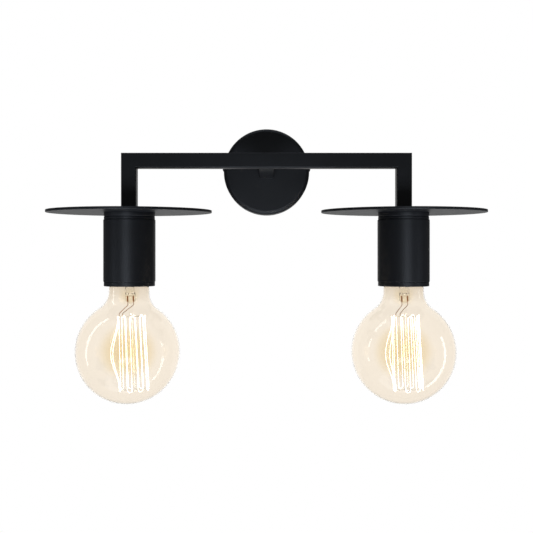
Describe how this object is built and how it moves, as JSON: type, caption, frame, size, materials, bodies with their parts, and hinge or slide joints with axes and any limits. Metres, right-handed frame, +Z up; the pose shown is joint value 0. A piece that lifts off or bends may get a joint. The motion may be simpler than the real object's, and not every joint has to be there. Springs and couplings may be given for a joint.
{
  "type": "wall lamp",
  "caption": "Wall lamp: round wall cover, short stem and square crossbar with drops, flat disc shades, metal lamp cups and amber globe bulbs that screw out.",
  "frame": {"origin": "middle of the wall bracket's back face, in the plane of the wall, behind the middle of the round cover", "axes": "+Z up; +Y into the wall, so the lamp stands out towards -Y; +X along the crossbar, to the right for somebody who looks at the lamp"},
  "size_m": [0.4, 0.211, 0.2656],
  "materials": {
    "black_paint": "satin powder coat",
    "black_screw": "blackened",
    "zinc_steel": "zinc plated",
    "brass": "satin",
    "ceramic": "glazed",
    "black_resin": "moulded gloss",
    "live_cover": "matt",
    "neutral_cover": "matt",
    "earth_cover": "matt",
    "solder": "dull",
    "amber_glass": "clear, tinted amber",
    "clear_glass": "clear",
    "support_metal": "bright",
    "copper_lead": "copper plated",
    "filament_metal": "glowing"
  },
  "bodies": {
    "lamp": {"canopy": "black_paint", "wall_bracket": "zinc_steel", "canopy_screws": "black_screw", "earth_screw": "zinc_steel", "terminal_block": "ceramic", "block_screws": "zinc_steel", "pole_tubes": "brass", "stem_tube": "black_paint", "stem_insert": "zinc_steel", "stem_nipple": "zinc_steel", "stem_washer": "zinc_steel", "stem_nut": "zinc_steel", "crossbar": "black_paint", "drop_tube_left": "black_paint", "drop_tube_right": "black_paint", "drop_insert_left": "zinc_steel", "drop_insert_right": "zinc_steel", "lamp_nipple_left": "zinc_steel", "lamp_nipple_right": "zinc_steel", "lamp_washers": "zinc_steel", "lamp_nuts": "zinc_steel", "shade_left": "black_paint", "shade_right": "black_paint", "cup_cap_left": "black_paint", "cup_cap_right": "black_paint", "lock_ring_left": "black_paint", "lock_ring_right": "black_paint", "cup_sleeve_left": "black_paint", "cup_sleeve_right": "black_paint", "holder_dome_left": "black_resin", "holder_dome_right": "black_resin", "holder_skirt_left": "black_resin", "holder_skirt_right": "black_resin", "holder_insert_left": "ceramic", "holder_insert_right": "ceramic", "screw_shell_left": "brass", "screw_shell_right": "brass", "centre_contact_left": "brass", "centre_contact_right": "brass", "terminals": "brass", "live_wires": "live_cover", "neutral_wires": "neutral_cover", "earth_wire": "earth_cover"},
    "bulb_left_base": {"eyelet_left": "solder"},
    "bulb_left": {"bulb_cap_left": "brass", "cap_insulator_left": "black_resin", "bulb_glass_left": "amber_glass", "glass_mount_left": "clear_glass", "support_wires_left": "support_metal", "lead_wires_left": "copper_lead", "filament_left": "filament_metal"},
    "bulb_right_base": {"eyelet_right": "solder"},
    "bulb_right": {"bulb_cap_right": "brass", "cap_insulator_right": "black_resin", "bulb_glass_right": "amber_glass", "glass_mount_right": "clear_glass", "support_wires_right": "support_metal", "lead_wires_right": "copper_lead", "filament_right": "filament_metal"}
  },
  "joints": [
    {"name": "bulb_left_travel", "type": "slide", "parent": "lamp", "child": "bulb_left_base", "axis": [0, 0, -1], "range_m": [0, 0.01452]},
    {"name": "bulb_left_turn", "type": "hinge", "parent": "bulb_left_base", "child": "bulb_left", "pos_m": [-0.125, -0.136, -0.0957], "axis": [0, 0, -1], "range_deg": [0, 1440]},
    {"name": "bulb_right_travel", "type": "slide", "parent": "lamp", "child": "bulb_right_base", "axis": [0, 0, -1], "range_m": [0, 0.01452]},
    {"name": "bulb_right_turn", "type": "hinge", "parent": "bulb_right_base", "child": "bulb_right", "pos_m": [0.125, -0.136, -0.0957], "axis": [0, 0, -1], "range_deg": [0, 1440]}
  ],
  "couplings": [
    {"joint": "bulb_left_travel", "follows": "bulb_left_turn", "m_per_rad": 0.00057757},
    {"joint": "bulb_right_travel", "follows": "bulb_right_turn", "m_per_rad": 0.00057757}
  ]
}
